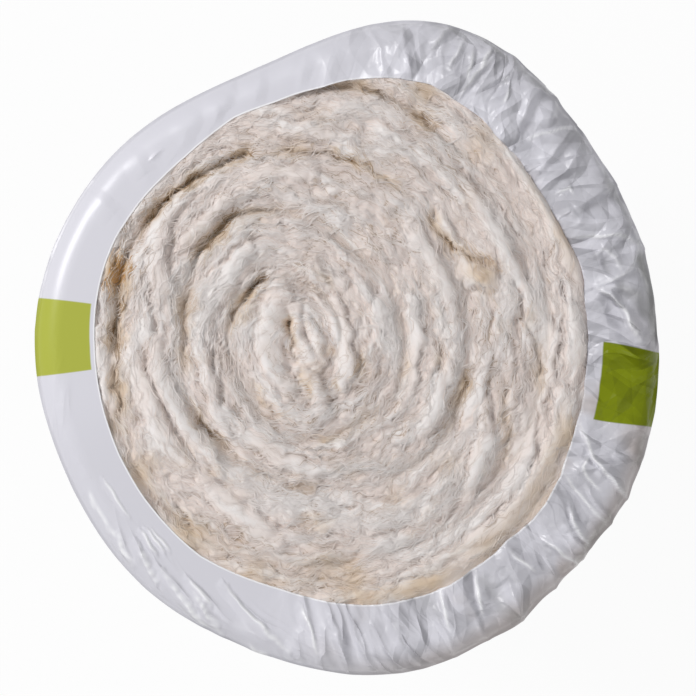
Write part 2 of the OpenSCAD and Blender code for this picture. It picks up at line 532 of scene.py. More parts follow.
def spiralPlace(points):
    # how far round and out along the wound blanket each point of an end lies
    crease = np.array([fromPhoto(*pixel) for pixel in wool["crease"]])
    heading, creaseReach = polarFromEye(crease)[1:]
    creaseTurn = np.unwrap(heading, period=360) / 360
    creaseTurn -= math.floor(creaseTurn[0])
    way, heading, reach = polarFromEye(points)
    lag = heading / 360
    pitch = wool["relief"]["Pitch"]
    before = np.zeros(len(points))
    place = np.zeros(len(points))
    for k in range(math.ceil(creaseTurn[-1]) + 2):
        turn = lag + k
        after = np.interp(turn, creaseTurn, creaseReach)
        after = np.where(turn < creaseTurn[0], creaseReach[0] * turn / creaseTurn[0], after)
        after = np.where(turn > creaseTurn[-1], creaseReach[-1] + pitch * (turn - creaseTurn[-1]), after)
        between = (reach >= before) & (reach < after)
        place = np.where(between, k + (reach - before) / np.maximum(after - before, 1e-4), place)
        before = np.maximum(before, after)
    edge = polarFromEye(hemPoints(halfDegrees))
    order = np.argsort(edge[1])
    share = reach / np.interp(heading, edge[1][order], edge[2][order], period=360)
    openHeading, full, faded, least = wool["openSide"]
    openSide = least + (1 - least) * smooth(faded, full, turnedAway(heading, openHeading))
    lay = np.stack([-way[:, 1], way[:, 0], np.zeros(len(way))], 1) / np.maximum(reach, 1e-6)[:, None]
    return {"out": place + lag, "lag": lag, "share": share, "lay": lay, "openSide": openSide}


def foldDepths(points):
    # how deep the open folds are, and how far the painted warm shade around them spreads
    depth, warmShade = np.zeros(len(points)), np.zeros(len(points))
    uneven = wavered(points, wool["foldWaver"])
    for corners, deep, wide in wool["folds"]:
        away, where, _ = distanceToLine(uneven, corners)
        deep = deep * endsFaded(where, 0.04)
        depth = np.maximum(depth, deep * np.exp(-(away / (wool["foldWidth"] * wide)) ** 1.3))
        warmShade = np.maximum(warmShade, deep * np.exp(-(away / (wool["warmShadeWidth"] * wide)) ** 1.5))
    return depth, warmShade


def padShapes(points):
    # how high the smooth pads rise, how much of a point is on one, and how tan it is there
    rise, spread, warm = (np.zeros(len(points)) for _ in range(3))
    uneven = wavered(points, wool["padWaver"])
    for corners, half, high, tan in wool["pads"]:
        away, where, _ = distanceToLine(uneven, corners)
        dome = np.sqrt(np.clip(1 - (away / half) ** 2, 0, None)) * endsFaded(where, 0.08, 0.4)
        rise = np.maximum(rise, high * dome)
        spread = np.maximum(spread, smooth(0.1, 0.8, dome))
        warm = np.maximum(warm, tan * dome)
    return rise, spread, warm


def markStrengths(points):
    marks = np.zeros(len(points))
    for pixel, reach, strength in wool["marks"]:
        away = np.linalg.norm(points - np.array(fromPhoto(*pixel)), axis=1)
        marks += strength * np.exp(-(away / reach) ** 2)
    return marks


def endValues(flat, side):
    # what the relief and the colours need to know at each point of one end; the lower end is plain
    values = spiralPlace(flat)
    values["end"] = np.full(len(flat), side)
    for key in ("fold", "warmShade", "mark", "rise", "pad"):
        values[key] = np.zeros(len(flat))
    if side > 0:
        values["fold"], values["warmShade"] = foldDepths(flat)
        values["rise"], values["pad"], warm = padShapes(flat)
        values["mark"] = markStrengths(flat) + warm
    return values


def rimValues(count, keys):
    values = {key: np.zeros(count) for key in keys}
    values["share"] = np.full(count, 2.0)        # well under the film
    values["lay"] = np.tile([0.0, 0.0, 1.0], (count, 1))
    return values


def rimRings(side):
    # step inward and height of each ring of points from an end to the middle of the side
    rim = rollForm["rimRadius"]
    skin = rim - wool["underFilm"]
    for bend in wool["rimBends"]:
        drop = rim - skin * math.sin(math.radians(bend))
        yield rim - skin * math.cos(math.radians(bend)), rollLength / 2 + side * (rollLength / 2 - drop)
    yield rim - skin, rollLength / 2 + side * rim


def woolMesh():
    points, faces, values, loops, count = [], [], [], [], 0
    for side, steps in ((1, wool["upperSteps"]), (-1, wool["upperSteps"] // 2)):
        reach, angle, index, loop = discGrid(steps)
        flat = reach[:, None] * (outlinePoints(angle) + rollForm["rimRadius"] * inwardVectors(angle))
        level = rollLength - wool["underFilm"] if side > 0 else wool["underFilm"]
        points.append(np.column_stack([flat, np.full(len(flat), level)]))
        values.append(endValues(flat, side))
        quads = np.stack([index[:-1, :-1], index[:-1, 1:], index[1:, 1:], index[1:, :-1]], -1)
        quads = quads.reshape(-1, 4) + count
        faces += (quads if side > 0 else quads[:, ::-1]).tolist()
        ring, ringAngle = loop + count, angle[loop]
        count += len(flat)
        for inset, height in rimRings(side):
            flat = outlinePoints(ringAngle) + inset * inwardVectors(ringAngle)
            points.append(np.column_stack([flat, np.full(len(flat), height)]))
            values.append(rimValues(len(flat), values[0]))
            nextRing = np.arange(len(flat)) + count
            count += len(flat)
            strip = np.stack([ring, nextRing, np.roll(nextRing, -1), np.roll(ring, -1)], 1)
            faces += (strip if side > 0 else strip[:, ::-1]).tolist()
            ring = nextRing
        loops.append(ring)
    # two steps of the upper ring meet one of the lower
    top, base = loops
    for i in range(len(base)):
        j = (i + 1) % len(base)
        a, b, c = top[2 * i], top[2 * i + 1], top[(2 * i + 2) % len(top)]
        faces += [[a, base[i], b], [b, base[i], base[j]], [b, base[j], c]]
    joined = {key: np.concatenate([part[key] for part in values]) for key in values[0]}
    return meshFrom("woolRoll", np.concatenate(points), faces, joined)


def feltedLine(tree, line, along, depth, layer, detail=1.0):
    lengthwise, crosswise = wool["flow"][line]
    flow = vector(tree, times(tree, along, lengthwise), times(tree, depth, crosswise), layer)
    return noise(tree, flow, detail=detail, distortion=0.2)


def feltedHill(tree, line, along, depth, layer, detail=1.0):
    # rounded hills with narrow valleys between them, from 0 to 1
    swell = timesPlus(tree, feltedLine(tree, line, along, depth, layer, detail), 2.0, -1.0)
    hill = times(tree, calc(tree, "ABSOLUTE", swell), wool["fullness"][line])
    return calc(tree, "POWER", calc(tree, "MINIMUM", hill, 1.0), 0.75)


def wayFromEye(tree, place):
    # the way from the eye across an end, and its length
    eye = vector(tree, *wool["eye"], 0.0)
    flat = vectorMath(tree, "MULTIPLY", vectorMath(tree, "SUBTRACT", place, eye), (1.0, 1.0, 0.0))
    return flat, vectorMath(tree, "LENGTH", flat, output=1)


def woolReliefTree():
    tree, size, result = nodeTree("woolRelief", wool["relief"])
    keys = ("out", "lag", "share", "end", "openSide")
    out, lag, share, end, openSide = (named(tree, key) for key in keys)
    place = position(tree)
    fromEye = wayFromEye(tree, place)[1]
    pitch = size["Pitch"]
    # the turns wander, and each point finds its place along and across its own turn
    scale, reach = wool["wander"]
    wandered = timesPlus(tree, swing(tree, place, scale, 2.0), reach, out)
    across = calc(tree, "FRACT", minus(tree, wandered, lag))
    begun = calc(tree, "ADD", calc(tree, "MAXIMUM", minus(tree, wandered, across), -0.5), 0.5)
    along = times(tree, calc(tree, "POWER", begun, 2.0), math.pi, pitch)
    depth = times(tree, across, pitch)
    for scale, reach in wool["sway"]:
        depth = timesPlus(tree, swing(tree, place, scale), reach, depth)
    layer = times(tree, end, wool["layerStep"])
    # the crease between two turns is open here and there, more on one side of the roll
    near = times(tree, calc(tree, "MINIMUM", across, minus(tree, 1.0, across)), pitch)
    gap = calc(tree, "POWER", calc(tree, "DIVIDE", near, size["Crease Width"]), 1.5)
    gap = calc(tree, "EXPONENT", times(tree, gap, -1.0))
    gap = times(tree, gap, ramp(tree, fromEye, size["Crease Start"], size["Eye End"]))
    opened = noise(tree, place, scale=wool["patches"]["opened"], detail=1.0)
    opened = ramp(tree, opened, 0.36, 0.62, 0.1, 1.0)
    crease = times(tree, gap, times(tree, opened, openSide))
    # each turn is rounded and felted, the eye only swells, and the pads are smoother than the rest
    settled = ramp(tree, fromEye, size["Eye Start"], size["Eye End"], size["Eye Share"], 1.0)
    swell = times(tree, swing(tree, place, wool["patches"]["swell"]), size["Eye Swell"])
    crown = minus(tree, 1.0, calc(tree, "POWER", timesPlus(tree, across, 2.0, -1.0), 2.0))
    height = times(tree, minus(tree, 1.0, settled), swell)
    height = timesPlus(tree, crown, times(tree, size["Crown"], settled), height)
    height = calc(tree, "ADD", height, named(tree, "rise"))
    calm = times(tree, minus(tree, 1.0, gap), settled)       # layers agree where two turns meet
    calm = times(tree, calm, minus(tree, 1.0, times(tree, named(tree, "pad"), size["Pad Smoothing"])))
    for line in wool["fullness"]:
        hill = feltedHill(tree, line, along, depth, layer)
        rise = times(tree, minus(tree, hill, size["Hill Mean"]), calm)
        height = timesPlus(tree, rise, size[line.capitalize() + " Height"], height)
    height = minus(tree, height, times(tree, crease, size["Crease Depth"]))
    height = minus(tree, height, times(tree, named(tree, "fold"), size["Fold Share"]))
    # beside the film's edge it dips or fills up, and under the film it lies flat
    dip = times(tree, ramp(tree, share, 0.86, 0.99), times(tree, openSide, size["Hem Dip"]))
    height = minus(tree, height, dip)
    filled = times(tree, ramp(tree, share, 0.93, 0.99), minus(tree, 1.0, openSide))
    height = calc(tree, "MAXIMUM", height, ramp(tree, filled, 0.0, 0.6, -0.02, size["Hem Fill"]))
    height = calc(tree, "MINIMUM", height, ramp(tree, share, 0.955, 1.0, 0.02, size["Hem Limit"]))
    height = times(tree, height, ramp(tree, share, 1.05, 0.99))
    height = calc(tree, "MINIMUM", height, ramp(tree, end, -0.5, 0.5, size["Pressed Height"], 1.0))
    geometry = moved(tree, size["Geometry"], vector(tree, 0.0, 0.0, times(tree, height, end)))
    for key, value in (("along", along), ("depth", depth), ("crease", crease), ("calm", calm)):
        geometry = store(tree, geometry, key, value)
    tree.links.new(finished(tree, geometry, size["Material"]), result)
    return tree


def woolMaterial():
    material, tree, shader = newMaterial("woolFleece")
    paint, most, scales = paints(wool["colours"]), wool["tints"], wool["patches"]
    along, depth, calm, crease = (attribute(tree, key) for key in ("along", "depth", "calm", "crease"))
    layer = times(tree, attribute(tree, "end"), wool["layerStep"])
    place = tree.nodes.new("ShaderNodeTexCoord").outputs["Object"]
    band = feltedHill(tree, "band", along, depth, layer)
    braid = feltedHill(tree, "braid", along, depth, layer, 2.0)
    strand = feltedHill(tree, "strand", along, depth, layer, 2.0)
    curled = timesPlus(tree, swing(tree, place, scales["curl"], 2.0), wool["curl"], depth)
    hair = feltedLine(tree, "hair", along, curled, layer, 2.0)
    mottle = noise(tree, place, scale=scales["mottle"], detail=4.0, roughness=0.65)
    speckle = minus(tree, mottle, 0.5)
    patch = noise(tree, place, scale=scales["grooveShade"])
    blush = noise(tree, place, scale=scales["blush"], detail=3.0, roughness=0.6)
    # white hills and rosy valleys, partly random mottle and partly painted shade; dusky painted shade in the
    # valleys, darker painted shade in the groove bottoms, a tan blush and painted light on the paler pads
    pale = timesPlus(tree, speckle, 0.5, band)
    colour = tint(tree, ramp(tree, pale, 0.15, 0.85), paint["rosy"], paint["white"])
    valley = times(tree, ramp(tree, braid, 0.55, 0.05), ramp(tree, patch, 0.35, 0.62, 0.25, 1.0))
    # painted shade: the valleys between the felted hills are tinted dusky
    colour = tint(tree, times(tree, valley, most["valley"]), colour, paint["duskShade"])
    line = times(tree, ramp(tree, strand, 0.30, 0.02), ramp(tree, blush, 0.40, 0.64, 0.0, most["line"]))
    colour = tint(tree, line, colour, paint["duskShade"])
    # painted shade: darker still in the bottoms of the braid grooves
    grooveShade = times(tree, ramp(tree, braid, 0.16, 0.0), ramp(tree, patch, 0.42, 0.60, 0.1, most["grooveShade"]))
    colour = tint(tree, grooveShade, colour, paint["grooveShade"])
    colour = tint(tree, ramp(tree, blush, 0.56, 0.80, 0.0, most["blush"]), colour, paint["tan"])
    # painted light: the raised pads are tinted whiter
    colour = tint(tree, times(tree, attribute(tree, "pad"), most["pad"]), colour, paint["white"])
    # binder stains, painted warm shade around the folds and in the creases, and darker painted shade at
    # their bottoms
    stain = times(tree, attribute(tree, "mark"), ramp(tree, blush, 0.25, 0.7, 0.4, 1.1))
    colour = tint(tree, ramp(tree, stain, 0.05, 0.95, 0.0, most["stain"]), colour, paint["tan"])
    # painted shade: tan around the folds, fuller where they are deeper
    warmShade = times(tree, attribute(tree, "warmShade"), ramp(tree, blush, 0.3, 0.65, 0.3, 1.2))
    colour = tint(tree, ramp(tree, warmShade, *wool["warmShadeDepth"], 0.0, most["warmShade"]), colour, paint["tan"])
    # painted shade: tan in the creases between the turns, then dark where folds and creases are deepest
    colour = tint(tree, times(tree, crease, most["crease"]), colour, paint["tan"])
    hollow = times(tree, crease, wool["creaseShade"])
    hollow = timesPlus(tree, attribute(tree, "fold"), wool["foldShade"], hollow)
    hollow = timesPlus(tree, speckle, 0.8, hollow)
    colour = tint(tree, ramp(tree, hollow, 0.22, 0.75, 0.0, most["hollow"]), colour, paint["shade"])
    colour = tint(tree, ramp(tree, stain, 0.8, 1.6, 0.0, most["orange"]), colour, paint["orange"])
    tree.links.new(colour, shader.inputs["Base Color"])
    shader.inputs["Roughness"].default_value = wool["roughness"]
    shader.inputs["Specular IOR Level"].default_value = wool["shine"]
    shares = wool["bumpShares"]
    relief = timesPlus(tree, hair, shares["hair"], times(tree, mottle, shares["mottle"]))
    relief = times(tree, timesPlus(tree, strand, shares["strand"], relief), calm)
    tree.links.new(bump(tree, relief, *wool["bump"]), shader.inputs["Normal"])
    return material


woolFleece = woolMaterial()
woolRoll = woolMesh()
applyTree(woolRoll, woolReliefTree(), {**wool["relief"], "Material": woolFleece})
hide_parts("wool_roll")
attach(woolRoll, "root")
print("stage: wool roll", len(woolRoll.data.polygons), "faces")


# loose fibres that lie on the wool and follow its turns
fibres = {
    "upperFibres": {
        "Density": 92000.0,      # on a square metre
        "Length": 0.034,
        "Width": 0.0005,
        "Lift": 0.0010,
        "Turn": 1.1,
        "Seed": 3,
        "Side": 1.0,
    },
    "lowerFibres": {
        "Density": 50000.0,
        "Length": 0.040,
        "Width": 0.0007,
        "Lift": 0.0006,
        "Turn": 1.1,
        "Seed": 8,
        "Side": -1.0,
    },
    "dots": 9,                   # points along a fibre
    "shortest": 0.35,            # share of the length, by chance and at the eye
    "eyeReach": 0.06,
    "thinning": 0.85,            # fewer lie on the smooth pads
    "paleness": (0.2, 1.5),      # some fibres are paler than the wool
    "swirl": (42.0, 2.4),        # scale, radians
    "stray": 0.25,
    "ripple": (120.0, 0.018),    # scale, metres
    "tip": 0.12,                 # share of the width
    "tilt": 0.5,
    "dropFrom": 0.1,             # metres above the wool from which a fibre is laid down
    "seeds": {"length": 11, "lift": 12, "stray": 13, "thinning": 14, "paleness": 15},
}


def woolFibreTree():
    tree, size, result = nodeTree("woolFibres", fibres["upperFibres"])
    blanket, side, seeds = size["Geometry"], size["Side"], fibres["seeds"]
    onEnd = calc(tree, "GREATER_THAN", times(tree, named(tree, "end"), side), 0.5)
    shows = times(tree, onEnd, calc(tree, "LESS_THAN", named(tree, "share"), 0.99))
    bare = times(tree, named(tree, "pad"), fibres["thinning"])
    kept = calc(tree, "GREATER_THAN", randomValue(tree, 0.0, 1.0, seeds["thinning"]), bare)
    scatter = addNode(tree, "GeometryNodeDistributePointsOnFaces", {
        "Mesh": blanket, "Selection": times(tree, shows, kept), "Density": size["Density"],
        "Seed": size["Seed"]})
    place = position(tree)
    flat, reach = wayFromEye(tree, place)
    length = times(tree, size["Length"], randomValue(tree, fibres["shortest"], 1.0, seeds["length"]))
    length = times(tree, length, ramp(tree, reach, 0.0, fibres["eyeReach"], fibres["shortest"], 1.0))
    points = store(tree, scatter.outputs["Points"], "reach", reach)
    points = store(tree, points, "fibreLength", length)
    points = store(tree, points, "lift", randomValue(tree, 0.0, 1.0, seeds["lift"]))
    points = store(tree, points, "pad", randomValue(tree, *fibres["paleness"], seeds["paleness"]))
    # a straight fibre on each point, turned along the wool and a little astray
    lay, up = named(tree, "lay", "FLOAT_VECTOR"), vector(tree, 0.0, 0.0, side)
    face = addNode(tree, "FunctionNodeAxesToRotation", {0: lay, 1: up}, primary_axis="X", secondary_axis="Z")
    scale, sweep = fibres["swirl"]
    swirl = times(tree, swing(tree, place, scale, 2.0), sweep)
    stray = randomValue(tree, -fibres["stray"], fibres["stray"], seeds["stray"])
    yaw = times(tree, calc(tree, "ADD", swirl, stray), size["Turn"])
    turned = addNode(tree, "FunctionNodeRotateRotation", {
        0: face.outputs[0], 1: vector(tree, 0.0, 0.0, yaw)}, rotation_space="LOCAL")
    line = addNode(tree, "GeometryNodeCurvePrimitiveLine", {"Start": (-0.5, 0, 0), "End": (0.5, 0, 0)})
    dots = addNode(tree, "GeometryNodeResampleCurve", {"Curve": line.outputs[0], "Count": fibres["dots"]})
    laid = addNode(tree, "GeometryNodeInstanceOnPoints", {
        "Points": points, "Instance": dots.outputs[0], "Rotation": turned.outputs[0],
        "Scale": vector(tree, length, length, length)})
    whole = realized(tree, laid.outputs[0])
    # each fibre bends with its turn, waves a little, and is laid down on the wool
    step = tree.nodes.new("GeometryNodeSplineParameter").outputs["Factor"]
    run = times(tree, minus(tree, step, 0.5), named(tree, "fibreLength"))
    here = named(tree, "reach")
    arc = calc(tree, "SQRT", timesPlus(tree, run, run, times(tree, here, here)))
    inward = scaled(tree, vectorMath(tree, "NORMALIZE", flat), times(tree, minus(tree, arc, here), -1.0))
    scale, sweep = fibres["ripple"]
    wave = addNode(tree, "ShaderNodeTexNoise", {"Vector": place, "Scale": scale, "Detail": 2.0})
    ripple = scaled(tree, vectorMath(tree, "SUBTRACT", wave.outputs["Color"], (0.5, 0.5, 0.5)), sweep)
    bent = moved(tree, whole, vectorMath(tree, "ADD", inward, ripple))
    x, y, z = addNode(tree, "ShaderNodeSeparateXYZ", {0: place}).outputs
    drop = addNode(tree, "GeometryNodeRaycast", {
        "Target Geometry": blanket,
        "Source Position": vector(tree, x, y, timesPlus(tree, side, fibres["dropFrom"], z)),
        "Ray Direction": vector(tree, 0.0, 0.0, times(tree, side, -1.0)),
        "Ray Length": 3 * fibres["dropFrom"]})
    lifted = times(tree, named(tree, "lift"), size["Lift"], side)
    seat = addNode(tree, "GeometryNodeSetPosition", {
        "Geometry": bent, "Selection": drop.outputs["Is Hit"],
        "Position": vectorMath(tree, "ADD", drop.outputs["Hit Position"], vector(tree, 0.0, 0.0, lifted))})
    # a flat ribbon along each, thin at both tips
    fromMiddle = calc(tree, "ABSOLUTE", timesPlus(tree, step, 2.0, -1.0))
    taper = calc(tree, "MAXIMUM", minus(tree, 1.0, calc(tree, "POWER", fromMiddle, 3.0)), fibres["tip"])
    upright = addNode(tree, "GeometryNodeSetCurveNormal", {"Curve": seat.outputs[0]}, mode="Z_UP")
    leaning = times(tree, minus(tree, named(tree, "lift"), 0.5), fibres["tilt"])
    tilt = addNode(tree, "GeometryNodeSetCurveTilt", {"Curve": upright.outputs[0], "Tilt": leaning})
    half = times(tree, size["Width"], 0.5)
    profile = addNode(tree, "GeometryNodeCurvePrimitiveLine", {
        "Start": vector(tree, times(tree, half, -1.0), 0.0, 0.0), "End": vector(tree, half, 0.0, 0.0)})
    ribbon = addNode(tree, "GeometryNodeCurveToMesh", {
        "Curve": tilt.outputs[0], "Profile Curve": profile.outputs[0], "Scale": taper})
    tree.links.new(finished(tree, ribbon.outputs[0], size["Material"]), result)
    return tree


def addFibres(name):
    piece = bpy.data.objects.new(name, woolRoll.data.copy())
    bpy.context.scene.collection.objects.link(piece)
    applyTree(piece, fibreTree, {**fibres[name], "Material": woolFleece})
    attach(piece, "root")
    print("stage:", name, len(piece.data.polygons), "faces")


fibreTree = woolFibreTree()
addFibres("upperFibres")
addFibres("lowerFibres")


